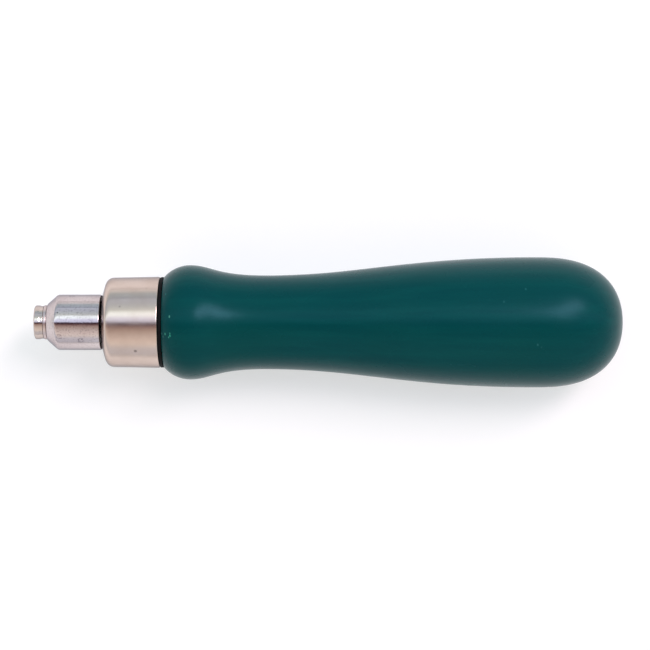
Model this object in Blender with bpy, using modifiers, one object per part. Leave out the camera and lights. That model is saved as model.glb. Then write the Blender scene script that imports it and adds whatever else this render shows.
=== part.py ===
"""Handle of an interchangeable ring mandrel: a turned wooden handle whose ferrule carries a ball-lock socket.

The tool lies level, its axis along +X from the socket's mouth to the butt. In the outlines below, "along" is
the distance behind the mouth and "radius" the distance from the axis, both in metres.
"""

import math

import bmesh
import bpy

MM = 0.001

# Handle
HANDLE_LENGTH = 101.6 * MM
SHOULDER_INSET = 0.05 * MM
BULGE_RADIUS = 12.68 * MM
BULGE_AT = 5.84 * MM
BULGE_REACH = 4.5 * MM
WAIST_RADIUS = 10.4 * MM
WAIST_AT = 22.5 * MM
WAIST_REACH_FORWARD = 11.0 * MM
WAIST_REACH_BACK = 20.5 * MM
BELLY_RADIUS = 14.44 * MM
BELLY_REACH = 29.0 * MM
BUTT_DEPTH = 19.2 * MM
BUTT_FULLNESS_ALONG = 2.6
BUTT_FULLNESS_ACROSS = 2.25

# Ferrule and washer
TENON_WALL = 1.45 * MM
FERRULE_TAPER = 0.2 * MM
FERRULE_CORNER = 1.9 * MM
FERRULE_FACE_SLOPE = 0.3
FERRULE_WALL = 0.85 * MM
FERRULE_FRONT_WALL = 1.0 * MM
WASHER_THICKNESS = 0.68 * MM
WASHER_INSET = 0.05 * MM

# Socket spindle
NOSE_STANDS_PROUD = 0.15 * MM
NOSE_LENGTH = 2.0 * MM
NOSE_RELIEF = 0.12 * MM
BORE_RADIUS = 2.5 * MM
BORE_DEPTH = 16.0 * MM
BORE_CHAMFER = 0.3 * MM
DRILL_POINT = 1.5 * MM
SPINDLE_WALL = 1.1 * MM
FLANGE_OUTSIDE_SPRING = 1.2 * MM
FLANGE_THICKNESS = 2.0 * MM
TANG_RADIUS = 3.2 * MM
TANG_LENGTH = 44.0 * MM
TANG_CHAMFER = 0.8 * MM
BARBS = 4
BARB_PITCH = 5.0 * MM
BARB_DEPTH = 0.3 * MM
FIRST_BARB_FROM_SHOULDER = 8.0 * MM

# Retaining ring
RING_WIDTH = 0.74 * MM
RING_STANDS_PROUD = 0.04 * MM
RING_GROOVE_DEPTH = 0.6 * MM
RING_OPENING = 1.2 * MM

# Sleeve
SLEEVE_WALL = 0.57 * MM
SLEEVE_NOSE_WALL = 0.4 * MM
SLEEVE_CONE_SLOPE = 0.885
SLEEVE_CONE_BLEND = 1.2 * MM
SLEEVE_REAR_EDGE = 0.4 * MM
SLEEVE_MOUTH_LENGTH = 2.2 * MM
SLEEVE_MOUTH_STEP = 0.8 * MM
CHAMBER_CONE_LENGTH = 0.9 * MM
SLEEVE_WEB = 1.5 * MM
SPRING_POCKET = 1.8 * MM
SLEEVE_TRAVEL = 3.0 * MM

# Locking balls
BALLS = 3
BALL_RADIUS = 1.5 * MM
BALL_GRIP = 0.6 * MM
BALL_HOLE_LIP = 0.4 * MM
BALL_HOLE_LIP_INSET = 0.02 * MM
RAMP_SLOPE = 0.2
MOUTH_AHEAD_OF_BALL = 0.13 * MM
WEB_BEHIND_BALL = 0.4 * MM

# Spring
WIRE_RADIUS = 0.4 * MM
ACTIVE_TURNS = 4
ACTIVE_PITCH = 1.7 * MM
END_TURN_PITCH = 0.85 * MM
POINTS_A_TURN = 16

# Guide bush
BUSH_WALL = 1.2 * MM
BUSH_SHELF = 1.0 * MM

# Cross pin
PIN_RADIUS = 1.0 * MM
PIN_BELOW_TENON = 0.2 * MM
PIN_TO_WOOD_END = 0.945 * MM

# Fits
FACE_GAP = 0.05 * MM
SEAT_GAP = 0.05 * MM
SLIDE_GAP = 0.1 * MM
PIN_GAP = 0.1 * MM
BALL_GAP = 0.05 * MM
BUSH_GAP = 0.15 * MM
FERRULE_MOUTH_GAP = 0.2 * MM
SPRING_INNER_GAP = 0.3 * MM
SPRING_OUTER_GAP = 0.4 * MM
SHOULDER_GAP = 0.26 * MM

# Roundness of the pieces
SEGMENTS = 48
HOLE_SEGMENTS = 24
ARC_STEPS = 4
SMALL_EDGE = 0.25 * MM

# Radii, from the bore outwards
SPINDLE_RADIUS = BORE_RADIUS + SPINDLE_WALL
NOSE_RADIUS = SPINDLE_RADIUS + NOSE_STANDS_PROUD
RING_RADIUS = NOSE_RADIUS + RING_STANDS_PROUD
RING_GROOVE_RADIUS = SPINDLE_RADIUS - RING_GROOVE_DEPTH
SLEEVE_BORE = SPINDLE_RADIUS + SLIDE_GAP
SLEEVE_NOSE_RADIUS = SLEEVE_BORE + SLEEVE_NOSE_WALL
BALL_CENTRE = BORE_RADIUS - BALL_GRIP + BALL_RADIUS
BALL_TRAVEL = RAMP_SLOPE * SLEEVE_TRAVEL
BALL_HOLE_RADIUS = BALL_RADIUS + SLIDE_GAP
RAMP_AT_BALL = BALL_CENTRE + (BALL_RADIUS + BALL_GAP) * math.hypot(1, RAMP_SLOPE)
BALL_CHAMBER = RAMP_AT_BALL + BALL_TRAVEL
SLEEVE_RADIUS = BALL_CHAMBER + SLEEVE_WALL
SPRING_RADIUS = SPINDLE_RADIUS + SPRING_INNER_GAP + WIRE_RADIUS
SPRING_CHAMBER = SPRING_RADIUS + WIRE_RADIUS + SPRING_OUTER_GAP
FLANGE_RADIUS = SPRING_RADIUS + WIRE_RADIUS + FLANGE_OUTSIDE_SPRING
BUSH_BORE = SLEEVE_RADIUS + BUSH_GAP
BUSH_RADIUS = BUSH_BORE + BUSH_WALL
BUSH_POCKET = BUSH_RADIUS + SEAT_GAP
TENON_RADIUS = BUSH_POCKET + TENON_WALL
FERRULE_BORE = TENON_RADIUS + SEAT_GAP
FERRULE_FRONT_RADIUS = FERRULE_BORE + FERRULE_WALL
FERRULE_REAR_RADIUS = FERRULE_FRONT_RADIUS + FERRULE_TAPER
FERRULE_MOUTH = SLEEVE_RADIUS + FERRULE_MOUTH_GAP
WASHER_RADIUS = FERRULE_REAR_RADIUS - WASHER_INSET
SHOULDER_RADIUS = WASHER_RADIUS - SHOULDER_INSET

# Places along the axis, from the mouth to the butt
RING_AT = NOSE_LENGTH + FACE_GAP
RING_END = RING_AT + RING_WIDTH
SLEEVE_AT = RING_END + FACE_GAP
SLEEVE_MOUTH_END = SLEEVE_AT + SLEEVE_MOUTH_LENGTH
BALL_AT = SLEEVE_MOUTH_END + MOUTH_AHEAD_OF_BALL + SLEEVE_TRAVEL + BALL_RADIUS
WEB_AT = BALL_AT + BALL_RADIUS + WEB_BEHIND_BALL
WEB_END = WEB_AT + SLEEVE_WEB
SLEEVE_END = WEB_END + SPRING_POCKET
SPRING_AT = WEB_END + FACE_GAP
SPRING_LENGTH = 2 * WIRE_RADIUS + 2 * END_TURN_PITCH + ACTIVE_TURNS * ACTIVE_PITCH
FLANGE_AT = SPRING_AT + SPRING_LENGTH + FACE_GAP
FLANGE_END = FLANGE_AT + FLANGE_THICKNESS
FLANGE_POCKET_END = FLANGE_END + FACE_GAP
TANG_END = FLANGE_END + TANG_LENGTH
FERRULE_AT = SLEEVE_END + SHOULDER_GAP
FERRULE_CORNER_AT = FERRULE_AT + FERRULE_FACE_SLOPE * (FERRULE_FRONT_RADIUS - FERRULE_MOUTH)
FERRULE_FLOOR_AT = FERRULE_AT + FERRULE_FRONT_WALL
FERRULE_FLOOR_END = FERRULE_FLOOR_AT + FERRULE_FACE_SLOPE * (FERRULE_BORE - FERRULE_MOUTH)
TENON_AT = FERRULE_FLOOR_END + FACE_GAP
BUSH_AT = FERRULE_FLOOR_AT + FERRULE_FACE_SLOPE * (BUSH_RADIUS - FERRULE_MOUTH) + FACE_GAP
BUSH_SHELF_AT = SLEEVE_END + SLEEVE_TRAVEL + FACE_GAP
BUSH_END = BUSH_SHELF_AT + BUSH_SHELF
PIN_AT = FLANGE_POCKET_END + PIN_TO_WOOD_END + PIN_GAP + PIN_RADIUS
HANDLE_AT = PIN_AT + PIN_RADIUS + PIN_GAP + PIN_TO_WOOD_END
WASHER_END = HANDLE_AT - FACE_GAP
WASHER_AT = WASHER_END - WASHER_THICKNESS
FERRULE_END = WASHER_AT - FACE_GAP
BARBS_AT = HANDLE_AT + FIRST_BARB_FROM_SHOULDER
TOOL_LENGTH = HANDLE_AT + HANDLE_LENGTH
BELLY_AT = TOOL_LENGTH - BUTT_DEPTH
AXIS_HEIGHT = max(BELLY_RADIUS, BULGE_RADIUS)


def new_collection(name, hidden=False):
    collection = bpy.data.collections.new(name)
    collection.hide_render = hidden
    bpy.context.scene.collection.children.link(collection)
    return collection


def material(name, colour, roughness, metallic=0.0, coat=0.0):
    made = bpy.data.materials.new(name)
    made.use_nodes = True
    shader = made.node_tree.nodes["Principled BSDF"]
    shader.inputs["Base Color"].default_value = (*colour, 1.0)
    shader.inputs["Roughness"].default_value = roughness
    shader.inputs["Metallic"].default_value = metallic
    shader.inputs["Coat Weight"].default_value = coat
    return made


def empty(name, parent, location, rotation=(0.0, 0.0, 0.0)):
    made = bpy.data.objects.new(name, None)
    made.empty_display_size = 5 * MM
    parts.objects.link(made)
    made.parent = parent
    made.location = location
    made.rotation_euler = rotation
    return made


def fillet(before, corner, after, radius):
    """Points of the arc that rounds this corner of an outline."""
    to_before = ((before[0] - corner[0]), (before[1] - corner[1]))
    to_after = ((after[0] - corner[0]), (after[1] - corner[1]))
    length_before = math.hypot(*to_before)
    length_after = math.hypot(*to_after)
    to_before = (to_before[0] / length_before, to_before[1] / length_before)
    to_after = (to_after[0] / length_after, to_after[1] / length_after)
    half_angle = math.acos(to_before[0] * to_after[0] + to_before[1] * to_after[1]) / 2
    tangent = radius / math.tan(half_angle)
    middle = (to_before[0] + to_after[0], to_before[1] + to_after[1])
    to_centre = radius / math.sin(half_angle) / math.hypot(*middle)
    centre = (corner[0] + middle[0] * to_centre, corner[1] + middle[1] * to_centre)
    start = (corner[0] + to_before[0] * tangent, corner[1] + to_before[1] * tangent)
    end = (corner[0] + to_after[0] * tangent, corner[1] + to_after[1] * tangent)
    first = math.atan2(start[1] - centre[1], start[0] - centre[0])
    sweep = math.atan2(end[1] - centre[1], end[0] - centre[0]) - first
    sweep = (sweep + math.pi) % (2 * math.pi) - math.pi
    angles = [first + sweep * step / ARC_STEPS for step in range(ARC_STEPS + 1)]
    return [(centre[0] + radius * math.cos(angle), centre[1] + radius * math.sin(angle)) for angle in angles]


def rounded(corners):
    """An outline's points, from corners of (along, radius) or (along, radius, fillet)."""
    points = []
    for index, corner in enumerate(corners):
        if len(corner) == 3:
            after = corners[(index + 1) % len(corners)]
            points += fillet(corners[index - 1], corner, after, corner[2])
        else:
            points.append(corner)
    return points


def turned(name, at, points, closed=True, segments=SEGMENTS):
    """A turned mesh object. Its points run along its outer side to the rear, then back along its bore."""
    mesh = bpy.data.meshes.new(name)
    profile = bmesh.new()
    ring = [profile.verts.new((radius, 0.0, along - at)) for along, radius in reversed(points)]
    for first, second in zip(ring, ring[1:]):
        profile.edges.new((first, second))
    if closed:
        profile.edges.new((ring[-1], ring[0]))
    profile.to_mesh(mesh)
    profile.free()
    made = bpy.data.objects.new(name, mesh)
    screw = made.modifiers.new("turn", "SCREW")
    screw.axis = "Z"
    screw.angle = 2 * math.pi
    screw.steps = segments
    screw.render_steps = segments
    screw.use_merge_vertices = True
    screw.merge_threshold = 0.00001
    screw.use_smooth_shade = True
    return made


def smooth_with_edges(piece, angle=math.radians(35)):
    """Bakes the modifiers so far, and shades the piece smooth between its sharp edges."""
    graph = bpy.context.evaluated_depsgraph_get()
    mesh = bpy.data.meshes.new_from_object(piece.evaluated_get(graph))
    piece.modifiers.clear()
    piece.data = mesh
    mesh.shade_smooth()
    mesh.set_sharp_from_angle(angle=angle)


def on_axis(piece, at, paint, parent=None):
    """Puts a turned piece on the tool's axis, its outline's start at this distance behind the mouth."""
    parts.objects.link(piece)
    piece.parent = parent or tool_axis
    piece.location = (at, 0.0, 0.0)
    piece.rotation_euler = (0.0, math.pi / 2, 0.0)
    piece.data.materials.append(paint)
    bpy.context.view_layer.update()
    smooth_with_edges(piece)
    return piece


def cut(piece, cutter):
    boolean = piece.modifiers.new(cutter.name, "BOOLEAN")
    boolean.operation = "DIFFERENCE"
    boolean.solver = "EXACT"
    boolean.object = cutter


def as_cutter(made, parent, location, rotation):
    for holder in made.users_collection:
        holder.objects.unlink(made)
    cutters.objects.link(made)
    made.parent = parent
    made.location = location
    made.rotation_euler = rotation
    made.hide_render = True
    made.display_type = "WIRE"
    return made


def bezier(start, end, reach_out, reach_in, steps):
    """Points of a curve that leaves start and reaches end level with the axis, without its first point."""
    points = []
    for step in range(1, steps + 1):
        t = step / steps
        from_start = (1 - t) ** 3 + 3 * (1 - t) ** 2 * t
        out_pull = 3 * (1 - t) ** 2 * t * reach_out
        in_pull = 3 * (1 - t) * t**2 * reach_in
        along = start[0] * from_start + end[0] * (1 - from_start) + out_pull - in_pull
        radius = start[1] * from_start + end[1] * (1 - from_start)
        points.append((along, radius))
    return points


def shoulder_curve():
    """The arc from the handle's front face up to its bulge."""
    rise = BULGE_RADIUS - SHOULDER_RADIUS
    arc = (rise**2 + BULGE_AT**2) / (2 * rise)
    sweep = math.asin(BULGE_AT / arc)
    steps = 6
    points = []
    for step in range(steps + 1):
        angle = sweep * (1 - step / steps)
        along = HANDLE_AT + BULGE_AT - arc * math.sin(angle)
        points.append((along, BULGE_RADIUS - arc * (1 - math.cos(angle))))
    return points


def butt_curve():
    """The rounded butt, from the belly to the axis: a superellipse."""
    steps = 12
    points = []
    for step in range(1, steps):
        angle = math.pi / 2 * step / steps
        along = BELLY_AT + BUTT_DEPTH * math.sin(angle) ** (2 / BUTT_FULLNESS_ALONG)
        radius = BELLY_RADIUS * math.cos(angle) ** (2 / BUTT_FULLNESS_ACROSS)
        points.append((along, radius))
    return points + [(TOOL_LENGTH, 0.0)]


def make_handle():
    bulge = (HANDLE_AT + BULGE_AT, BULGE_RADIUS)
    waist = (HANDLE_AT + WAIST_AT, WAIST_RADIUS)
    belly = (BELLY_AT, BELLY_RADIUS)
    bush_pocket_end = BUSH_END + FACE_GAP
    flange_pocket = FLANGE_RADIUS + SEAT_GAP
    tang_bore = TANG_RADIUS + SEAT_GAP
    tang_bore_end = TANG_END + FACE_GAP
    bore = [
        (tang_bore_end, 0.0),
        (tang_bore_end, tang_bore),
        (FLANGE_POCKET_END, tang_bore),
        (FLANGE_POCKET_END, flange_pocket),
        (bush_pocket_end, flange_pocket),
        (bush_pocket_end, BUSH_POCKET),
        (TENON_AT, BUSH_POCKET),
    ]
    tenon = [
        (TENON_AT, TENON_RADIUS - FERRULE_CORNER / 2),
        (TENON_AT + FERRULE_CORNER / 2, TENON_RADIUS),
        (HANDLE_AT, TENON_RADIUS),
    ]
    grip = shoulder_curve()
    grip += bezier(bulge, waist, BULGE_REACH, WAIST_REACH_FORWARD, 8)
    grip += bezier(waist, belly, WAIST_REACH_BACK, BELLY_REACH, 12)
    grip += butt_curve()
    handle = turned("handle", TENON_AT, bore + tenon + grip, closed=False)
    on_axis(handle, TENON_AT, lacquer)
    cut(handle, pin_hole)


def make_ferrule():
    corners = [
        (FERRULE_AT, FERRULE_MOUTH),
        (FERRULE_CORNER_AT, FERRULE_FRONT_RADIUS, FERRULE_CORNER),
        (FERRULE_END - SMALL_EDGE, FERRULE_REAR_RADIUS),
        (FERRULE_END, FERRULE_REAR_RADIUS - SMALL_EDGE),
        (FERRULE_END, FERRULE_BORE),
        (FERRULE_FLOOR_END, FERRULE_BORE, FERRULE_CORNER - FERRULE_WALL),
        (FERRULE_FLOOR_AT, FERRULE_MOUTH),
    ]
    on_axis(turned("ferrule", FERRULE_AT, rounded(corners)), FERRULE_AT, nickel)


def make_washer():
    bore = TENON_RADIUS + SLIDE_GAP
    corners = [
        (WASHER_AT, WASHER_RADIUS),
        (WASHER_END, WASHER_RADIUS),
        (WASHER_END, bore),
        (WASHER_AT, bore),
    ]
    on_axis(turned("shoulder_washer", WASHER_AT, corners), WASHER_AT, black_fibre)


def make_guide_bush():
    shelf_bore = SPRING_CHAMBER
    corners = [
        (BUSH_AT, BUSH_RADIUS),
        (BUSH_END, BUSH_RADIUS),
        (BUSH_END, shelf_bore),
        (BUSH_SHELF_AT, shelf_bore),
        (BUSH_SHELF_AT, BUSH_BORE),
        (BUSH_AT, BUSH_BORE),
    ]
    on_axis(turned("guide_bush", BUSH_AT, corners), BUSH_AT, black_nylon)


def barbs():
    """The tang's ring barbs, steep towards the mouth so that they hold against a pull."""
    points = []
    for barb in range(BARBS):
        start = BARBS_AT + barb * BARB_PITCH
        points.append((start, TANG_RADIUS - BARB_DEPTH))
        points.append((start, TANG_RADIUS))
    points.append((BARBS_AT + BARBS * BARB_PITCH, TANG_RADIUS - BARB_DEPTH))
    return points


def make_spindle():
    nose_edge = SMALL_EDGE
    relief_radius = NOSE_RADIUS - NOSE_RELIEF
    bore = [
        (BORE_DEPTH + DRILL_POINT, 0.0),
        (BORE_DEPTH, BORE_RADIUS),
        (BORE_CHAMFER, BORE_RADIUS),
        (0.0, BORE_RADIUS + BORE_CHAMFER),
    ]
    nose = [
        (0.0, NOSE_RADIUS - nose_edge),
        (nose_edge, NOSE_RADIUS),
        (NOSE_LENGTH / 2, NOSE_RADIUS),
        (NOSE_LENGTH * 3 / 4, relief_radius),
        (NOSE_LENGTH, relief_radius),
        (NOSE_LENGTH, RING_GROOVE_RADIUS),
        (SLEEVE_AT, RING_GROOVE_RADIUS),
        (SLEEVE_AT, SPINDLE_RADIUS),
    ]
    body = [
        (FLANGE_AT, SPINDLE_RADIUS),
        (FLANGE_AT, FLANGE_RADIUS),
        (FLANGE_END, FLANGE_RADIUS),
        (FLANGE_END, TANG_RADIUS - BARB_DEPTH),
    ]
    tang = [
        (TANG_END - TANG_CHAMFER, TANG_RADIUS - BARB_DEPTH),
        (TANG_END, TANG_RADIUS - BARB_DEPTH - TANG_CHAMFER),
        (TANG_END, 0.0),
    ]
    outline = bore + nose + body + barbs() + tang
    spindle = turned("socket_spindle", 0.0, outline, closed=False)
    on_axis(spindle, 0.0, tool_steel)
    for hole in ball_holes:
        cut(spindle, hole)
    cut(spindle, pin_hole)


def make_retaining_ring():
    bore = RING_GROOVE_RADIUS + SEAT_GAP
    corners = [
        (RING_AT, RING_RADIUS),
        (RING_END, RING_RADIUS),
        (RING_END, bore),
        (RING_AT, bore),
    ]
    ring = on_axis(turned("retaining_ring", RING_AT, corners), RING_AT, spring_steel)
    cut(ring, ring_opening)


def make_sleeve():
    cone_end = SLEEVE_AT + (SLEEVE_RADIUS - SLEEVE_NOSE_RADIUS) / SLEEVE_CONE_SLOPE
    ramp_start = BALL_AT - SLEEVE_TRAVEL
    ramp_end_radius = RAMP_AT_BALL - RAMP_SLOPE * (WEB_AT - BALL_AT)
    corners = [
        (SLEEVE_AT, SLEEVE_NOSE_RADIUS),
        (cone_end, SLEEVE_RADIUS, SLEEVE_CONE_BLEND),
        (SLEEVE_END, SLEEVE_RADIUS, SLEEVE_REAR_EDGE),
        (SLEEVE_END, SPRING_CHAMBER),
        (WEB_END, SPRING_CHAMBER),
        (WEB_END, SLEEVE_BORE),
        (WEB_AT, SLEEVE_BORE),
        (WEB_AT, ramp_end_radius),
        (ramp_start, BALL_CHAMBER),
        (SLEEVE_MOUTH_END + CHAMBER_CONE_LENGTH, BALL_CHAMBER),
        (SLEEVE_MOUTH_END, SLEEVE_BORE + SLEEVE_MOUTH_STEP),
        (SLEEVE_MOUTH_END, SLEEVE_BORE),
        (SLEEVE_AT, SLEEVE_BORE),
    ]
    on_axis(turned("release_sleeve", SLEEVE_AT, rounded(corners)), SLEEVE_AT, zinc)


def make_ball(number, ball_axis):
    bpy.ops.mesh.primitive_uv_sphere_add(segments=20, ring_count=12, radius=BALL_RADIUS)
    ball = bpy.context.object
    ball.name = f"locking_ball_{number}"
    ball.data.name = ball.name
    for holder in ball.users_collection:
        holder.objects.unlink(ball)
    parts.objects.link(ball)
    ball.parent = ball_axis
    ball.location = (0.0, 0.0, BALL_CENTRE)
    ball.data.materials.append(bearing_steel)
    ball.data.shade_smooth()


def spring_points():
    """The wire's centre line: a closed turn at each end, and the active turns between."""
    turns = ACTIVE_TURNS + 2
    points = []
    for step in range(turns * POINTS_A_TURN + 1):
        turn = step / POINTS_A_TURN
        active = min(max(turn - 1, 0), ACTIVE_TURNS)
        along = WIRE_RADIUS + END_TURN_PITCH * (turn - active) + ACTIVE_PITCH * active
        angle = 2 * math.pi * turn
        points.append((SPRING_RADIUS * math.cos(angle), SPRING_RADIUS * math.sin(angle), along))
    return points


def make_spring():
    curve = bpy.data.curves.new("sleeve_spring", "CURVE")
    curve.dimensions = "3D"
    curve.bevel_depth = WIRE_RADIUS
    curve.bevel_resolution = 2
    curve.use_fill_caps = True
    points = spring_points()
    wire = curve.splines.new("POLY")
    wire.points.add(len(points) - 1)
    for point, place in zip(wire.points, points):
        point.co = (*place, 1.0)
    curve.materials.append(blued_steel)
    spring = bpy.data.objects.new("sleeve_spring", curve)
    parts.objects.link(spring)
    spring.parent = tool_axis
    spring.location = (SPRING_AT, 0.0, 0.0)
    spring.rotation_euler = (0.0, math.pi / 2, 0.0)


def make_pin():
    length = 2 * (TENON_RADIUS - PIN_BELOW_TENON)
    bpy.ops.mesh.primitive_cylinder_add(vertices=HOLE_SEGMENTS, radius=PIN_RADIUS, depth=length)
    pin = bpy.context.object
    pin.name = "tang_pin"
    pin.data.name = "tang_pin"
    for holder in pin.users_collection:
        holder.objects.unlink(pin)
    parts.objects.link(pin)
    pin.parent = tool_axis
    pin.location = (PIN_AT, 0.0, 0.0)
    pin.rotation_euler = (math.pi / 2, 0.0, 0.0)
    pin.data.materials.append(tool_steel)
    pin.data.shade_smooth()
    pin.data.set_sharp_from_angle(angle=math.radians(35))


def make_pin_hole():
    length = 2 * TENON_RADIUS + 2 * SMALL_EDGE
    bpy.ops.mesh.primitive_cylinder_add(vertices=HOLE_SEGMENTS, radius=PIN_RADIUS + PIN_GAP, depth=length)
    made = bpy.context.object
    made.name = "pin_hole"
    return as_cutter(made, tool_axis, (PIN_AT, 0.0, 0.0), (math.pi / 2, 0.0, 0.0))


def make_ball_hole(number, ball_axis):
    """A hole from outside, with a lip at the bore that the ball can't pass."""
    lip_end = BORE_RADIUS + BALL_HOLE_LIP
    lip_radius = BALL_RADIUS - BALL_HOLE_LIP_INSET
    outside = SPINDLE_RADIUS + 2 * BALL_RADIUS
    points = [
        (0.0, 0.0),
        (0.0, lip_radius),
        (lip_end, lip_radius),
        (lip_end, BALL_HOLE_RADIUS),
        (outside, BALL_HOLE_RADIUS),
        (outside, 0.0),
    ]
    made = turned(f"ball_hole_{number}", 0.0, points, closed=False, segments=HOLE_SEGMENTS)
    return as_cutter(made, ball_axis, (0.0, 0.0, 0.0), (0.0, 0.0, 0.0))


def make_ring_opening():
    bpy.ops.mesh.primitive_cube_add(size=1.0)
    made = bpy.context.object
    made.name = "ring_opening"
    made.dimensions = (2 * RING_WIDTH, RING_OPENING, 2 * RING_RADIUS)
    bpy.ops.object.transform_apply(location=False, rotation=False, scale=True)
    middle = RING_AT + RING_WIDTH / 2
    return as_cutter(made, tool_axis, (middle, 0.0, -RING_RADIUS), (0.0, 0.0, 0.0))


for leftover in list(bpy.data.objects):
    bpy.data.objects.remove(leftover)
parts = new_collection("ring_mandrel_handle")
cutters = new_collection("cutters", hidden=True)

lacquer = material("teal_lacquer", (0.006, 0.062, 0.066), 0.3, coat=0.5)
nickel = material("satin_nickel", (0.52, 0.47, 0.43), 0.32, metallic=1.0)
zinc = material("bright_zinc", (0.62, 0.61, 0.62), 0.16, metallic=1.0)
spring_steel = material("spring_steel", (0.6, 0.57, 0.55), 0.3, metallic=1.0)
tool_steel = material("tool_steel", (0.45, 0.43, 0.42), 0.28, metallic=1.0)
bearing_steel = material("bearing_steel", (0.7, 0.7, 0.7), 0.08, metallic=1.0)
blued_steel = material("blued_spring_wire", (0.03, 0.03, 0.035), 0.35, metallic=1.0)
black_fibre = material("black_fibre", (0.012, 0.012, 0.013), 0.6)
black_nylon = material("black_nylon", (0.015, 0.015, 0.015), 0.45)

tool_axis = empty("tool_axis", None, (-TOOL_LENGTH / 2, 0.0, AXIS_HEIGHT))
ball_axes = []
for ball_number in range(BALLS):
    lean = (2 * math.pi * ball_number / BALLS, 0.0, 0.0)
    ball_axes.append(empty(f"ball_axis_{ball_number + 1}", tool_axis, (BALL_AT, 0.0, 0.0), lean))

pin_hole = make_pin_hole()
ring_opening = make_ring_opening()
ball_holes = [make_ball_hole(index + 1, axis) for index, axis in enumerate(ball_axes)]

make_handle()
make_ferrule()
make_washer()
make_guide_bush()
make_spindle()
make_retaining_ring()
make_sleeve()
make_spring()
make_pin()
for ball_index, axis in enumerate(ball_axes):
    make_ball(ball_index + 1, axis)
bpy.context.view_layer.update()
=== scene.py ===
"""The looks of a ring mandrel's handle with a quick-release socket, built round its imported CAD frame.

Every turned piece takes its outline from its CAD node. The outline's corners get small rounded edges and its
curves get more points, and then it is turned again with many more segments.
"""

import math

import bmesh
import bpy
from mathutils import Matrix, Vector


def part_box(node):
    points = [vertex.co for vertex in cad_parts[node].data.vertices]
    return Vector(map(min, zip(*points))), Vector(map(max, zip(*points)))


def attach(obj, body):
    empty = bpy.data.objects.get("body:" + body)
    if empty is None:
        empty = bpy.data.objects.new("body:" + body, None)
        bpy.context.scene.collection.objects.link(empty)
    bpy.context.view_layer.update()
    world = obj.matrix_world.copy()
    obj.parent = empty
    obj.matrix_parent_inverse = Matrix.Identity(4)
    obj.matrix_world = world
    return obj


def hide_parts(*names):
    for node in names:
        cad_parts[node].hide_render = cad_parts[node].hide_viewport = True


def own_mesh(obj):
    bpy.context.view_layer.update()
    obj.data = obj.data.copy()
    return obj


MM = 0.001

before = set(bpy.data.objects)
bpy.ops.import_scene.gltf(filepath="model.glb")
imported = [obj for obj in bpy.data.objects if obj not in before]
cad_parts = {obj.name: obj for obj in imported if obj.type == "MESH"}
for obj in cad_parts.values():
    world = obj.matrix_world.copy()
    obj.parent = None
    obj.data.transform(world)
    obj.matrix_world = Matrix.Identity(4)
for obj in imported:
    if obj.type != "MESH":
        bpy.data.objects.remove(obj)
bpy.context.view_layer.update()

AXIS_Z = (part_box("handle")[0].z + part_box("handle")[1].z) / 2
TOOL_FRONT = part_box("socket_spindle")[0].x

# Distances in metres that count as nothing.
NEAR = 2e-6
ON_AXIS = 1e-7

# How finely the outlines are drawn and turned. A rounded corner takes at most a share of the sides beside it.
# An outline that turns less than SMOOTH_TURN is a curve, and an edge sharper than SHARP_EDGE is shaded as one.
CURVE_STEPS = 5
CORNER_STEPS = 4
CORNER_SHARE = 0.45
SMOOTH_TURN = math.radians(26)
SHARP_EDGE = math.radians(40)
SEGMENTS = 160
LARGE_SEGMENTS = 192
PIN_SEGMENTS = 48
CUTTER_SEGMENTS = 64
BALL_SUBDIVISIONS = 5

# The retaining ring's opening, in radians, from half its width and the ring's radius in mm.
RING_OPENING = 2 * math.asin(0.6 / 3.4)

# The locking balls, as their nodes number them.
BALLS = (1, 2, 3)

# The ball holes run from inside the bore to outside the spindle, and narrow inwards to keep the balls in.
HOLE_FROM = 1.2 * MM
HOLE_TO = 7 * MM
HOLE_INNER_SHARE = 0.985
HOLE_OUTER_SHARE = 1.13

# The sleeve's spring, with one closed turn at each end.
WIRE_RADIUS = 0.4 * MM
ACTIVE_TURNS = 4
CLOSED_TURNS = 2
ACTIVE_PITCH = 1.7 * MM
POINTS_A_TURN = 32

# Marks on the surfaces: mm behind the mouth, degrees from straight up towards +Y, and reach in mm.
# Nicks in the lacquer add their colour, and pits how strong they are.
NICKS = (
    (30.6, 6.0, 0.18, (0.06, 0.26, 0.19)),
    (28.8, -14.0, 0.14, (0.03, 0.13, 0.12)),
    (29.1, -17.5, 0.14, (0.03, 0.13, 0.12)),
    (29.6, -13.5, 0.18, (0.04, 0.24, 0.17)),
    (30.7, -12.0, 0.14, (0.03, 0.25, 0.17)),
    (30.7, -14.5, 0.18, (0.03, 0.27, 0.18)),
    (30.4, -16.5, 0.13, (0.05, 0.25, 0.18)),
    (29.6, 34.0, 0.14, (0.01, 0.13, 0.11)),
    (107.7, 29.8, 0.18, (0.012, 0.100, 0.098)),
    (102.9, 17.9, 0.18, (0.010, 0.085, 0.085)),
    (110.2, -19.7, 0.18, (0.016, 0.100, 0.098)),
    (111.0, -22.0, 0.14, (0.010, 0.080, 0.078)),
)
ZINC_PITS = (
    (5.6, 20.0, 0.16, 0.85),
    (11.6, 26.0, 0.10, 0.5),
    (4.2, -10.0, 0.22, 0.6),
    (3.6, -24.0, 0.18, 0.4),
    (5.9, -31.0, 0.12, 0.5),
    (6.4, -36.0, 0.10, 0.4),
    (10.8, -38.0, 0.14, 0.5),
    (8.1, -18.0, 0.10, 0.35),
    (12.3, -47.0, 0.10, 0.4),
)
NICKEL_PITS = ((22.9, -39.0, 0.35, 0.7), (19.6, 20.0, 0.16, 0.5), (25.2, 48.0, 0.14, 0.5))
NOSE_PITS = ((1.0, 40.0, 0.12, 0.5), (1.4, -35.0, 0.1, 0.4))
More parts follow.
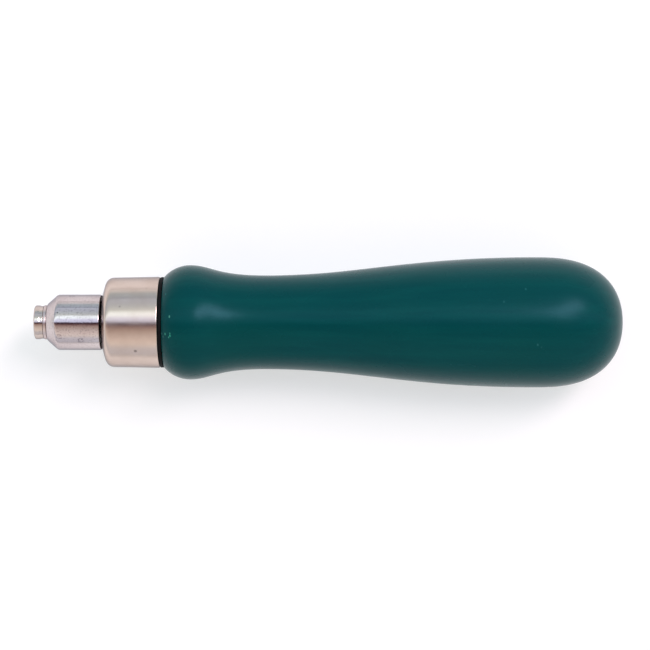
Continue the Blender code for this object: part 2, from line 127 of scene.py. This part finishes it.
# Stain rings in the zinc: the same first three numbers. Inside each ring a share of its reach is clean.
STAIN_RINGS = ((5.9, -31.0, 0.62), (10.6, -40.0, 0.66), (8.4, 70.0, 0.6), (12.0, 150.0, 0.6))
STAIN_INSIDE = 0.6
STAIN_STRENGTH = 0.85

# Linear colours. A metal has a light one and a dark one, for its tarnish and turning marks.
LACQUER = (0.0003, 0.047, 0.048)
LACQUER_GRAIN = (0.0009, 0.057, 0.055)
LACQUER_CLOUDS = (0.0010, 0.054, 0.047)
LACQUER_DUST = (0.06, 0.20, 0.20)
LACQUER_GLINT = (0.32, 0.78, 1.0, 1.0)
METAL_GLINT = (0.50, 0.52, 0.56, 1.0)
NICKEL = ((0.69, 0.57, 0.50), (0.62, 0.50, 0.43))
ZINC = ((0.66, 0.585, 0.575), (0.57, 0.49, 0.485))
TOOL_STEEL = ((0.68, 0.59, 0.54), (0.56, 0.47, 0.42))
RING_STEEL = ((0.70, 0.60, 0.57), (0.60, 0.50, 0.48))
BALL_STEEL = ((0.78, 0.78, 0.78), (0.7, 0.7, 0.7))
BLUED_WIRE = ((0.035, 0.037, 0.045), (0.02, 0.02, 0.024))
NICKEL_PIT = (0.22, 0.17, 0.15)
NOSE_PIT = (0.15, 0.12, 0.12)
ZINC_PIT = (0.10, 0.09, 0.10)
ZINC_STAIN = (0.24, 0.19, 0.21)
ZINC_SPECKLE = (0.36, 0.31, 0.31)
BLACK = (0.002, 0.002, 0.0025)
BLACK_FLECK = (0.010, 0.010, 0.010)
FLOOR_DARK = (0.54, 0.53, 0.51)
FLOOR_LIGHT = (0.56, 0.55, 0.53)
FLOOR_GLOW_COLOUR = (0.94, 0.98, 1.0, 1.0)
BACKDROP = (0.92, 0.92, 0.92, 1.0)

# The floor's side, its glow in a band under the tool and beyond it, the band's reach from the tool's axis,
# and how many times that reach the band stretches along X, Y and Z. Lengths are in metres.
FLOOR_SIZE = 3.0
FLOOR_GLOW = 0.5
FLOOR_FAR_GLOW = 0.22
FLOOR_FADE_AT = 0.135
FLOOR_BAND = (20.0, 1.0, 1.0)

# The studio's bands of light: degrees from straight up towards +Y, and the linear colour there.
BANDS = (
    (-90, (0.72, 0.75, 0.83)),
    (-70, (0.78, 0.79, 0.85)),
    (-58, (0.99, 0.93, 0.88)),
    (-46, (0.93, 0.83, 0.78)),
    (-35, (0.78, 0.70, 0.66)),
    (-21, (0.58, 0.47, 0.42)),
    (-14, (0.42, 0.30, 0.28)),
    (-9, (0.17, 0.09, 0.09)),
    (-7, (0.08, 0.04, 0.05)),
    (-0.8, (0.05, 0.02, 0.035)),
    (0.6, (0.9, 1.0, 1.3)),
    (12, (1.05, 1.15, 1.45)),
    (16, (1.38, 1.62, 1.74)),
    (26, (1.38, 1.62, 1.70)),
    (29, (0.78, 0.89, 0.88)),
    (40, (0.66, 0.78, 0.84)),
    (51, (0.60, 0.69, 0.81)),
    (63, (0.66, 0.77, 0.91)),
    (64.5, (0.30, 0.36, 0.46)),
    (66.5, (0.30, 0.36, 0.46)),
    (68, (0.56, 0.67, 0.77)),
    (78, (0.50, 0.62, 0.69)),
    (90, (1.0, 1.0, 1.0)),
)

# The soft light: degrees from straight up towards +X and +Y, its sides and distance in metres, and watts.
LIGHT_LEAN = (27.0, 25.5)
LIGHT_SIZE = (0.32, 0.72)
LIGHT_DISTANCE = 1.2
LIGHT_POWER = 7.4
LIGHT_COLOUR = (1.0, 0.8, 0.88)

# The camera looks straight down from this height above the tool's axis, and sees this width there.
CAMERA_HEIGHT = 475 * MM
CAMERA_NEAREST = 10 * MM
VIEW_WIDTH = 144.3 * MM
VIEW_CENTRE = (-0.8 * MM, -0.6 * MM)
SENSOR = 36.0


# ---------------------------------------------------------------- outlines


def cad_outline(node, side=-1):
    """A turned CAD node's (x, radius) corners in order, and whether they close on themselves.

    They are read where its mesh crosses the plane Y = 0, under the axis, or above the axis when side is 1.
    """
    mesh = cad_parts[node].data
    places = [tuple(round(value, 7) for value in vertex.co) for vertex in mesh.vertices]
    in_plane = [abs(p[1]) < NEAR and side * (p[2] - AXIS_Z) > -NEAR for p in places]
    joined = {}
    for edge in mesh.edges:
        first, second = edge.vertices
        if in_plane[first] and in_plane[second] and places[first] != places[second]:
            joined.setdefault(places[first], set()).add(places[second])
            joined.setdefault(places[second], set()).add(places[first])
    ends = [place for place, others in joined.items() if len(others) == 1]
    path = [min(ends or joined)]
    while True:
        onward = [place for place in joined[path[-1]] if place not in path[-2:]]
        if not onward or onward[0] == path[0]:
            break
        path.append(onward[0])
    outline = [(place[0], abs(place[2] - AXIS_Z)) for place in path]
    if ends:
        outline = [(outline[0][0], 0.0)] * (outline[0][1] > NEAR) + outline
        outline += [(outline[-1][0], 0.0)] * (outline[-1][1] > NEAR)
    return [Vector(point) for point in outline], not ends


def radius_at(node, x):
    """The CAD node's outer radius at this place along X."""
    outline, _ = cad_outline(node)
    best = 0.0
    for first, second in zip(outline, outline[1:]):
        low, high = sorted((first[0], second[0]))
        if low <= x <= high and high > low:
            share = (x - first[0]) / (second[0] - first[0])
            best = max(best, first[1] + share * (second[1] - first[1]))
    return best


def mirrored(point):
    """The point on the other side of the axis, which makes a curve cross the axis at a right angle."""
    return Vector((point[0], -point[1]))


def curve_through(before, start, end, after):
    """Points from start up to end, on the smooth curve through the four points."""
    first_slope = (end - before) / ((start - before).length + (end - start).length)
    last_slope = (after - start) / ((end - start).length + (after - end).length)
    span = (end - start).length
    points = []
    for step in range(CURVE_STEPS):
        t = step / CURVE_STEPS
        blend = t * t * (3 - 2 * t)
        pull = first_slope * (t * (1 - t) ** 2) + last_slope * (t * t * (t - 1))
        points.append(start.lerp(end, blend) + pull * span)
    return points


def rounded_corner(before, corner, after, radius):
    """The corner's points, cut back along both sides and bent through it."""
    back = min(radius, (before - corner).length * CORNER_SHARE)
    onward = min(radius, (after - corner).length * CORNER_SHARE)
    start = corner + (before - corner).normalized() * back
    end = corner + (after - corner).normalized() * onward
    points = []
    for step in range(CORNER_STEPS + 1):
        t = step / CORNER_STEPS
        points.append(start * (1 - t) ** 2 + corner * 2 * t * (1 - t) + end * t**2)
    return points


def refined(outline, closed, edge):
    """The outline with its sharp corners rounded by this edge, and more points along its curves."""
    count = len(outline)
    sharp = []
    for index, corner in enumerate(outline):
        if not closed and index in (0, count - 1):
            sharp.append(False)
            continue
        turn = (corner - outline[index - 1]).angle(outline[(index + 1) % count] - corner)
        sharp.append(turn > SMOOTH_TURN)
    points = []
    for index in range(count if closed else count - 1):
        here = outline[index]
        ahead_index = (index + 1) % count
        ahead = outline[ahead_index]
        if sharp[index]:
            points += rounded_corner(outline[index - 1], here, ahead, edge)
        elif sharp[ahead_index]:
            points.append(here)
        else:
            before = outline[index - 1] if closed or index else mirrored(ahead)
            at_end = not closed and ahead_index == count - 1
            beyond = mirrored(here) if at_end else outline[(index + 2) % count]
            points += curve_through(before, here, ahead, beyond)
    if not closed:
        points.append(outline[-1])
    return points


# ---------------------------------------------------------------- meshes


def placed(name, data):
    """A new object in the scene with this data."""
    made = bpy.data.objects.new(name, data)
    bpy.context.scene.collection.objects.link(made)
    return made


def turned(name, outline, closed, segments=SEGMENTS, gap=0.0):
    """A turned piece round the tool's axis. With a gap, in radians, it is an open ring, parted underneath."""
    mesh = bmesh.new()
    spoke_count = segments + 1 if gap else segments
    turn = 2 * math.pi - gap
    spokes = []
    for step in range(spoke_count):
        angle = math.pi + gap / 2 + turn * step / segments
        spokes.append(Vector((0.0, math.sin(angle), math.cos(angle))))
    rings = []
    for x, radius in outline:
        middle = Vector((x, 0.0, AXIS_Z))
        if radius < ON_AXIS:
            rings.append([mesh.verts.new(middle)] * spoke_count)
        else:
            rings.append([mesh.verts.new(middle + spoke * radius) for spoke in spokes])
    pairs = list(zip(rings, rings[1:]))
    if closed:
        pairs.append((rings[-1], rings[0]))
    for first, second in pairs:
        for step in range(segments):
            ahead = (step + 1) % spoke_count
            corners = [first[step], second[step], second[ahead], first[ahead]]
            mesh.faces.new(list(dict.fromkeys(corners)))
    if gap:
        mesh.faces.new([ring[0] for ring in rings])
        mesh.faces.new([ring[-1] for ring in reversed(rings)])
    bmesh.ops.recalc_face_normals(mesh, faces=mesh.faces)
    data = bpy.data.meshes.new(name)
    mesh.to_mesh(data)
    mesh.free()
    data.shade_smooth()
    data.set_sharp_from_angle(angle=SHARP_EDGE)
    return placed(name, data)


def turned_from(node, edge, segments=SEGMENTS):
    """A finely turned piece on the CAD node's own outline."""
    outline, closed = cad_outline(node)
    return turned(node + "_turned", refined(outline, closed, edge), closed, segments)


def cone_between(start, end, start_radius, end_radius):
    """A plain round cone between two points, used as a cutter."""
    direction = end - start
    bpy.ops.mesh.primitive_cone_add(
        vertices=CUTTER_SEGMENTS,
        radius1=start_radius,
        radius2=end_radius,
        depth=direction.length,
        location=(start + end) / 2,
        rotation=direction.to_track_quat("Z", "Y").to_euler(),
    )
    return bpy.context.object


def drill(piece, cutter):
    """Cuts the cutter's shape out of the piece for good, and removes the cutter."""
    boolean = piece.modifiers.new("drill", "BOOLEAN")
    boolean.operation = "DIFFERENCE"
    boolean.solver = "EXACT"
    boolean.object = cutter
    graph = bpy.context.evaluated_depsgraph_get()
    mesh = bpy.data.meshes.new_from_object(piece.evaluated_get(graph))
    piece.modifiers.clear()
    piece.data = mesh
    bpy.data.objects.remove(cutter)


def finish_piece(piece, body, node, paint):
    """Paints the piece, puts it on its body and has it stand for its CAD node."""
    piece.data.materials.clear()
    piece.data.materials.append(paint)
    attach(piece, body)
    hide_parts(node)


# ---------------------------------------------------------------- materials


class Paint:
    """A material's node tree, with short calls for the nodes that the materials here share.

    Its own colour and roughness are what a viewer shows that can't follow the nodes linked to them.
    """

    def __init__(self, name, colour, roughness, metallic=0.0):
        self.material = bpy.data.materials.new(name)
        self.material.use_nodes = True
        self.tree = self.material.node_tree
        self.shader = self.tree.nodes["Principled BSDF"]
        self.set("Base Color", (*colour, 1.0))
        self.set("Roughness", roughness)
        self.set("Metallic", metallic)
        self.place = self.tree.nodes.new("ShaderNodeTexCoord").outputs["Object"]

    def set(self, socket, value):
        """Gives one of the shader's inputs a constant."""
        self.shader.inputs[socket].default_value = value

    def link(self, output, socket):
        """Gives one of the shader's inputs a node's output."""
        self.tree.links.new(output, self.shader.inputs[socket])

    def stretched(self, scale, origin=(0.0, 0.0, 0.0)):
        """The place on the piece from this origin, stretched by this much along X, Y and Z."""
        mapping = self.tree.nodes.new("ShaderNodeMapping")
        mapping.vector_type = "POINT"
        mapping.inputs["Location"].default_value = [-o * s for o, s in zip(origin, scale)]
        mapping.inputs["Scale"].default_value = scale
        self.tree.links.new(self.place, mapping.inputs["Vector"])
        return mapping.outputs["Vector"]

    def noise(self, scale, detail=2.0, rough=0.5):
        """Noise from 0 to 1 whose grain is 1/scale metres along X, Y and Z."""
        texture = self.tree.nodes.new("ShaderNodeTexNoise")
        texture.inputs["Scale"].default_value = 1.0
        texture.inputs["Detail"].default_value = detail
        texture.inputs["Roughness"].default_value = rough
        self.tree.links.new(self.stretched(scale), texture.inputs["Vector"])
        return texture.outputs["Fac"]

    def combine(self, operation, first, second, clamp=False):
        """Two numbers or outputs, put together by this operation."""
        made = self.tree.nodes.new("ShaderNodeMath")
        made.operation = operation
        made.use_clamp = clamp
        for value, socket in zip((first, second), made.inputs):
            if isinstance(value, (int, float)):
                socket.default_value = value
            else:
                self.tree.links.new(value, socket)
        return made.outputs["Value"]

    def spread(self, value, low, high, to_low=0.0, to_high=1.0):
        """The value's stretch from low to high, laid smoothly over another range."""
        made = self.tree.nodes.new("ShaderNodeMapRange")
        made.interpolation_type = "SMOOTHSTEP"
        for name, number in zip(("From Min", "From Max", "To Min", "To Max"), (low, high, to_low, to_high)):
            made.inputs[name].default_value = number
        self.tree.links.new(value, made.inputs["Value"])
        return made.outputs["Result"]

    def mix(self, factor, first, second):
        """The first colour where the factor is 0, and the second where it is 1."""
        made = self.tree.nodes.new("ShaderNodeMix")
        made.data_type = "RGBA"
        self.tree.links.new(factor, made.inputs[0])
        for value, socket in ((first, made.inputs[6]), (second, made.inputs[7])):
            if isinstance(value, tuple):
                socket.default_value = (*value, 1.0)
            else:
                self.tree.links.new(value, socket)
        return made.outputs[2]

    def bump(self, height, depth, strength, under=None):
        """A bump whose height runs from 0 to this depth in metres, on top of another if one is given."""
        made = self.tree.nodes.new("ShaderNodeBump")
        made.inputs["Strength"].default_value = strength
        made.inputs["Distance"].default_value = depth
        self.tree.links.new(height, made.inputs["Height"])
        if under is not None:
            self.tree.links.new(under, made.inputs["Normal"])
        return made.outputs["Normal"]

    def near(self, point, reach, softness, size=(1.0, 1.0, 1.0)):
        """1 close to this point, and 0 past this reach from it."""
        length = self.tree.nodes.new("ShaderNodeVectorMath")
        length.operation = "LENGTH"
        scale = tuple(1.0 / (reach * share) for share in size)
        self.tree.links.new(self.stretched(scale, point), length.inputs[0])
        return self.spread(length.outputs["Value"], 1.0 - softness, 1.0 + softness, 1.0, 0.0)


def on_surface(node, along, angle):
    """The node's point this many mm behind the mouth and this many degrees from straight up towards +Y."""
    x = TOOL_FRONT + along * MM
    radius = radius_at(node, x)
    lean = math.radians(angle)
    return (x, radius * math.sin(lean), AXIS_Z + radius * math.cos(lean))


def teal_lacquer():
    """Satin lacquer over turned wood: faint grain under the colour, fine dust, and a few nicks."""
    paint = Paint("teal_lacquer", (0.002, 0.06, 0.066), 0.3)
    paint.set("Specular IOR Level", 0.16)
    paint.set("Specular Tint", LACQUER_GLINT)
    grain = paint.noise((26, 520, 520), detail=5.0, rough=0.6)
    clouds = paint.noise((45, 60, 60), detail=3.0, rough=0.55)
    colour = paint.mix(paint.spread(grain, 0.35, 0.75), LACQUER, LACQUER_GRAIN)
    colour = paint.mix(paint.spread(clouds, 0.3, 0.75, to_high=0.5), colour, LACQUER_CLOUDS)
    dust = paint.noise((1500, 1500, 1500))
    colour = paint.mix(paint.spread(dust, 0.72, 0.80, to_high=0.10), colour, LACQUER_DUST)
    for along, angle, reach, nick in NICKS:
        point = on_surface("handle", along, angle)
        spot = paint.near(point, reach * MM, softness=0.4, size=(1.0, 1.5, 1.0))
        colour = paint.mix(spot, colour, nick)
    paint.link(colour, "Base Color")
    patches = paint.noise((70, 110, 110), detail=3.0, rough=0.6)
    paint.link(paint.spread(patches, 0.3, 0.7, to_low=0.24, to_high=0.31), "Roughness")
    peel = paint.bump(paint.noise((620, 620, 620)), 0.02 * MM, strength=0.35)
    paint.link(paint.bump(grain, 0.02 * MM, strength=0.3, under=peel), "Normal")
    return paint.material


def turned_metal(name, light, dark, roughness, marks=0.02, streak=0.3, wobble=0.25):
    """Metal with turning marks round the axis, cloudy tarnish, uneven gloss and a slightly wavy face.

    The marks are this many mm deep, streak is how far they darken the metal, and wobble sets the waves.
    """
    paint = Paint(name, light, roughness, metallic=1.0)
    paint.set("Specular Tint", METAL_GLINT)
    clouds = paint.noise((160, 160, 160), detail=3.0, rough=0.6)
    rings = paint.noise((5200, 25, 25), rough=0.6)
    colour = paint.mix(paint.spread(clouds, 0.32, 0.78), light, dark)
    paint.colour = paint.mix(paint.spread(rings, 0.3, 0.9, to_high=streak), colour, dark)
    paint.link(paint.spread(clouds, 0.25, 0.8, roughness * 0.85, roughness * 1.3), "Roughness")
    waves = paint.bump(paint.noise((900, 900, 900), detail=3.0, rough=0.55), 0.012 * MM, strength=wobble)
    paint.normal = paint.bump(rings, marks * MM, strength=0.25, under=waves)
    paint.link(paint.normal, "Normal")
    paint.link(paint.colour, "Base Color")
    return paint


def spotted(paint, node, spots, shade):
    """Adds small dark pits to the paint's colour, each by place along, angle, reach and strength."""
    for along, angle, reach, strength in spots:
        spot = paint.near(on_surface(node, along, angle), reach * MM, softness=0.5)
        paint.colour = paint.mix(paint.combine("MULTIPLY", spot, strength), paint.colour, shade)
    paint.link(paint.colour, "Base Color")


def satin_nickel():
    """Warm satin nickel plate with three small pits."""
    paint = turned_metal("satin_nickel", *NICKEL, roughness=0.2)
    spotted(paint, "ferrule", NICKEL_PITS, NICKEL_PIT)
    return paint.material


def bright_zinc():
    """Bright zinc plate with broken stain rings, pits and fine dark speckle."""
    paint = turned_metal("bright_zinc", *ZINC, roughness=0.11, marks=0.008, streak=0.2, wobble=1.0)
    patchy = paint.spread(paint.noise((3000, 3000, 3000)), 0.4, 0.6, to_low=0.15)
    for along, angle, reach in STAIN_RINGS:
        point = on_surface("release_sleeve", along, angle)
        outside = paint.near(point, reach * MM, softness=0.25)
        inside = paint.near(point, reach * STAIN_INSIDE * MM, softness=0.35)
        ring = paint.combine("MULTIPLY", paint.combine("SUBTRACT", outside, inside, clamp=True), patchy)
        paint.colour = paint.mix(paint.combine("MULTIPLY", ring, STAIN_STRENGTH), paint.colour, ZINC_STAIN)
    spotted(paint, "release_sleeve", ZINC_PITS, ZINC_PIT)
    grain = paint.noise((2800, 2800, 2800))
    paint.link(paint.bump(grain, 0.006 * MM, strength=0.6, under=paint.normal), "Normal")
    speckle = paint.spread(paint.noise((2600, 2600, 2600)), 0.54, 0.68, to_high=0.45)
    paint.link(paint.mix(speckle, paint.colour, ZINC_SPECKLE), "Base Color")
    return paint.material


def black_plastic(name, roughness):
    """Matte black plastic or fibre with a faint fleck."""
    paint = Paint(name, (0.004, 0.004, 0.0045), roughness)
    paint.set("Specular IOR Level", 0.06)
    fleck = paint.noise((2500, 2500, 2500), detail=3.0, rough=0.6)
    paint.link(paint.mix(fleck, BLACK, BLACK_FLECK), "Base Color")
    paint.link(paint.bump(fleck, 0.02 * MM, strength=0.4), "Normal")
    return paint.material


# ---------------------------------------------------------------- pieces


def ball_middle(number):
    """The locking ball's middle and radius in CAD."""
    low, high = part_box(f"locking_ball_{number}")
    return (low + high) / 2, (high.x - low.x) / 2


def make_spindle(paint):
    """The socket's spindle, turned and then drilled for the three balls."""
    outline, closed = cad_outline("socket_spindle")
    spindle = turned("socket_spindle_turned", refined(outline, closed, edge=0.12 * MM), closed)
    for number in BALLS:
        middle, radius = ball_middle(number)
        on_axis = Vector((middle.x, 0.0, AXIS_Z))
        outward = (middle - on_axis).normalized()
        start = on_axis + outward * HOLE_FROM
        end = on_axis + outward * HOLE_TO
        drill(spindle, cone_between(start, end, radius * HOLE_INNER_SHARE, radius * HOLE_OUTER_SHARE))
    finish_piece(spindle, "grip", "socket_spindle", paint)


def make_ball(number, paint):
    """One locking ball as a fine sphere."""
    middle, radius = ball_middle(number)
    mesh = bmesh.new()
    bmesh.ops.create_icosphere(mesh, subdivisions=BALL_SUBDIVISIONS, radius=radius)
    bmesh.ops.translate(mesh, verts=mesh.verts, vec=middle)
    data = bpy.data.meshes.new(f"locking_ball_{number}_ground")
    mesh.to_mesh(data)
    mesh.free()
    data.shade_smooth()
    finish_piece(placed(data.name, data), f"ball_{number}", f"locking_ball_{number}", paint)


def make_spring(paint):
    """The sleeve's spring as a fine round wire."""
    low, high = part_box("sleeve_spring")
    coil_radius = (high.y - low.y) / 2 - WIRE_RADIUS
    turns = ACTIVE_TURNS + CLOSED_TURNS
    end_pitch = (high.x - low.x - 2 * WIRE_RADIUS - ACTIVE_TURNS * ACTIVE_PITCH) / CLOSED_TURNS
    curve = bpy.data.curves.new("wire", "CURVE")
    curve.dimensions = "3D"
    curve.bevel_depth = WIRE_RADIUS
    curve.bevel_resolution = 5
    curve.use_fill_caps = True
    wire = curve.splines.new("POLY")
    wire.points.add(turns * POINTS_A_TURN)
    for step, point in enumerate(wire.points):
        turn = step / POINTS_A_TURN
        active = min(max(turn - 1, 0), ACTIVE_TURNS)
        along = WIRE_RADIUS + end_pitch * (turn - active) + ACTIVE_PITCH * active
        angle = 2 * math.pi * turn
        y = coil_radius * math.sin(angle)
        z = AXIS_Z - coil_radius * math.cos(angle)
        point.co = (low.x + along, y, z, 1.0)
    holder = placed("wire", curve)
    graph = bpy.context.evaluated_depsgraph_get()
    data = bpy.data.meshes.new_from_object(holder.evaluated_get(graph))
    bpy.data.objects.remove(holder)
    data.shade_smooth()
    data.set_sharp_from_angle(angle=SHARP_EDGE)
    spring = placed("sleeve_spring_wound", data)
    finish_piece(spring, "grip", "sleeve_spring", paint)
    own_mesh(spring)


def make_pin(paint):
    """The cross pin, turned on the tool's axis and then swung round to lie along Y."""
    low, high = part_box("tang_pin")
    radius = (high.x - low.x) / 2
    profile = [Vector((low.y, 0)), Vector((low.y, radius)), Vector((high.y, radius)), Vector((high.y, 0))]
    outline = refined(profile, closed=False, edge=0.2 * MM)
    pin = turned("tang_pin_turned", outline, closed=False, segments=PIN_SEGMENTS)
    middle = (low + high) / 2
    turn = Matrix.Rotation(math.radians(90), 4, "Z")
    to_place = Matrix.Translation(middle) @ turn @ Matrix.Translation((0.0, 0.0, -AXIS_Z))
    pin.data.transform(to_place)
    finish_piece(pin, "grip", "tang_pin", paint)


handle = turned_from("handle", edge=0.2 * MM, segments=LARGE_SEGMENTS)
ferrule = turned_from("ferrule", edge=0.15 * MM, segments=LARGE_SEGMENTS)
washer = turned_from("shoulder_washer", edge=0.18 * MM)
sleeve = turned_from("release_sleeve", edge=0.15 * MM)
bush = turned_from("guide_bush", edge=0.15 * MM)
ring_outline, _ = cad_outline("retaining_ring", side=1)
ring_outline = refined(ring_outline, closed=True, edge=0.2 * MM)
ring = turned("retaining_ring_turned", ring_outline, closed=True, gap=RING_OPENING)

steel = turned_metal("tool_steel", *TOOL_STEEL, roughness=0.13, marks=0.008, streak=0.25)
spotted(steel, "socket_spindle", NOSE_PITS, NOSE_PIT)
ring_steel = turned_metal("spring_steel", *RING_STEEL, roughness=0.28, marks=0.01)
ball_steel = turned_metal("bearing_steel", *BALL_STEEL, roughness=0.06, marks=0.002, streak=0.1, wobble=0.05)
blued = turned_metal("blued_spring_wire", *BLUED_WIRE, roughness=0.35, marks=0.01)
finish_piece(handle, "grip", "handle", teal_lacquer())
finish_piece(ferrule, "grip", "ferrule", satin_nickel())
finish_piece(washer, "grip", "shoulder_washer", black_plastic("black_fibre", 0.6))
finish_piece(bush, "grip", "guide_bush", black_plastic("black_nylon", 0.45))
finish_piece(sleeve, "sleeve", "release_sleeve", bright_zinc())
finish_piece(ring, "grip", "retaining_ring", ring_steel.material)
make_spindle(steel.material)
make_pin(steel.material)
make_spring(blued.material)
for ball_number in BALLS:
    make_ball(ball_number, ball_steel.material)


# ---------------------------------------------------------------- studio


def make_floor():
    """A pale floor that glows a little in a wide band under the tool, and less beyond it."""
    bpy.ops.mesh.primitive_plane_add(size=FLOOR_SIZE, location=(0.0, 0.0, 0.0))
    floor = bpy.context.object
    floor.name = "floor"
    paint = Paint("pale_floor", (0.55, 0.54, 0.52), 0.9)
    paint.set("Specular IOR Level", 0.0)
    paint.set("Emission Color", FLOOR_GLOW_COLOUR)
    grain = paint.noise((400, 400, 400), detail=3.0, rough=0.6)
    paint.link(paint.mix(grain, FLOOR_DARK, FLOOR_LIGHT), "Base Color")
    nearby = paint.near((0.0, 0.0, 0.0), FLOOR_FADE_AT, softness=0.35, size=FLOOR_BAND)
    glow = paint.spread(nearby, 0.0, 1.0, to_low=FLOOR_FAR_GLOW, to_high=FLOOR_GLOW)
    paint.link(glow, "Emission Strength")
    floor.data.materials.append(paint.material)


def make_world():
    """Bands of light that run along X, which the tool reflects, and a plain pale backdrop for the camera."""
    world = bpy.data.worlds.new("studio")
    bpy.context.scene.world = world
    world.use_nodes = True
    tree = world.node_tree
    background = tree.nodes["Background"]
    place = tree.nodes.new("ShaderNodeTexCoord")
    parts = tree.nodes.new("ShaderNodeSeparateXYZ")
    tree.links.new(place.outputs["Generated"], parts.inputs[0])
    lean = tree.nodes.new("ShaderNodeMath")
    lean.operation = "ARCTAN2"
    tree.links.new(parts.outputs["Y"], lean.inputs[0])
    tree.links.new(parts.outputs["Z"], lean.inputs[1])
    first_angle, last_angle = BANDS[0][0], BANDS[-1][0]
    share = tree.nodes.new("ShaderNodeMapRange")
    share.inputs["From Min"].default_value = math.radians(first_angle)
    share.inputs["From Max"].default_value = math.radians(last_angle)
    tree.links.new(lean.outputs[0], share.inputs["Value"])
    ramp = tree.nodes.new("ShaderNodeValToRGB")
    stops = ramp.color_ramp.elements
    for angle, colour in BANDS[1:-1]:
        stop = stops.new((angle - first_angle) / (last_angle - first_angle))
        stop.color = (*colour, 1.0)
    stops[0].color = (*BANDS[0][1], 1.0)
    stops[-1].color = (*BANDS[-1][1], 1.0)
    tree.links.new(share.outputs[0], ramp.inputs["Fac"])
    seen = tree.nodes.new("ShaderNodeLightPath")
    choose = tree.nodes.new("ShaderNodeMix")
    choose.data_type = "RGBA"
    tree.links.new(seen.outputs["Is Camera Ray"], choose.inputs[0])
    tree.links.new(ramp.outputs["Color"], choose.inputs[6])
    choose.inputs[7].default_value = BACKDROP
    tree.links.new(choose.outputs[2], background.inputs["Color"])


def make_soft_light():
    """The light whose glints lie on the lacquer where the bulge and the belly turn away from the socket."""
    data = bpy.data.lights.new("soft_light", "AREA")
    data.shape = "RECTANGLE"
    data.size, data.size_y = LIGHT_SIZE
    data.energy = LIGHT_POWER
    data.color = LIGHT_COLOUR
    light = placed("soft_light", data)
    along, across = (math.tan(math.radians(angle)) for angle in LIGHT_LEAN)
    lean = Vector((along, across, 1.0)).normalized()
    light.location = Vector((0.0, 0.0, AXIS_Z)) + lean * LIGHT_DISTANCE
    light.rotation_euler = lean.to_track_quat("Z", "Y").to_euler()


def make_camera():
    """The camera straight above the tool."""
    lens = bpy.data.cameras.new("camera")
    lens.sensor_width = SENSOR
    lens.lens = SENSOR * CAMERA_HEIGHT / VIEW_WIDTH
    lens.clip_start = CAMERA_NEAREST
    camera = placed("camera", lens)
    camera.location = (*VIEW_CENTRE, AXIS_Z + CAMERA_HEIGHT)
    bpy.context.scene.camera = camera


make_floor()
make_world()
make_soft_light()
make_camera()
bpy.context.scene.view_settings.view_transform = "Standard"
